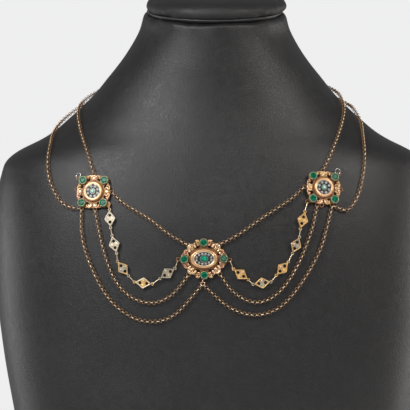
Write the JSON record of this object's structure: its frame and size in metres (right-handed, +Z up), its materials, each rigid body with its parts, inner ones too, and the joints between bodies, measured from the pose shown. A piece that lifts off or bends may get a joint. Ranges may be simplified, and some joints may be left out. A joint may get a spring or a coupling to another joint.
{
  "type": "festoon necklace on a neck bust",
  "caption": "Gold festoon necklace with gem-set pierced plaques, lozenge links and chain swags, worn on a padded black leatherette neck bust.",
  "frame": {"origin": "middle of the bust's flat base", "axes": "+Z up from the base to the neck, -Y towards the front of the chest, +X to the viewer's right"},
  "size_m": [0.23, 0.1051, 0.306],
  "materials": {
    "leatherette": "fine-grained black leatherette with a soft sheen",
    "rose_gold": "worn rose and yellow gold, polished rims and darkened hollows",
    "yellow_gold": "matt yellow gold with light tarnish",
    "chain_gold": "dull antique gold",
    "silver": "oxidised silver with bright edges",
    "emerald": "faceted green stone",
    "diamond": "faceted colourless stone"
  },
  "bodies": {
    "root": {"neck_bust": "leatherette", "neck_cap": "leatherette", "centre_plaque": "rose_gold", "left_plaque": "rose_gold", "right_plaque": "rose_gold", "centre_cluster": "silver", "left_cluster": "silver", "right_cluster": "silver", "centre_diamonds": "diamond", "left_diamonds": "diamond", "right_diamonds": "diamond", "centre_emerald": "emerald", "left_emerald": "emerald", "right_emerald": "emerald", "centre_edge_emerald_1": "emerald", "centre_edge_emerald_2": "emerald", "centre_edge_emerald_3": "emerald", "centre_edge_emerald_4": "emerald", "left_edge_emerald_1": "emerald", "left_edge_emerald_2": "emerald", "left_edge_emerald_3": "emerald", "left_edge_emerald_4": "emerald", "right_edge_emerald_1": "emerald", "right_edge_emerald_2": "emerald", "right_edge_emerald_3": "emerald", "right_edge_emerald_4": "emerald", "left_lozenge_1": "yellow_gold", "left_lozenge_2": "yellow_gold", "left_lozenge_3": "yellow_gold", "left_lozenge_4": "yellow_gold", "left_lozenge_5": "yellow_gold", "right_lozenge_1": "yellow_gold", "right_lozenge_2": "yellow_gold", "right_lozenge_3": "yellow_gold", "right_lozenge_4": "yellow_gold", "right_lozenge_5": "yellow_gold", "left_lozenge_links": "chain_gold", "right_lozenge_links": "chain_gold", "festoon_ring": "rose_gold", "clasp": "rose_gold", "left_collar": "chain_gold", "left_inner_swag": "chain_gold", "left_outer_swag": "chain_gold", "left_shoulder_swag": "chain_gold", "left_back_chain": "chain_gold", "right_collar": "chain_gold", "right_inner_swag": "chain_gold", "right_outer_swag": "chain_gold", "right_shoulder_swag": "chain_gold", "right_back_chain": "chain_gold"}
  },
  "joints": []
}
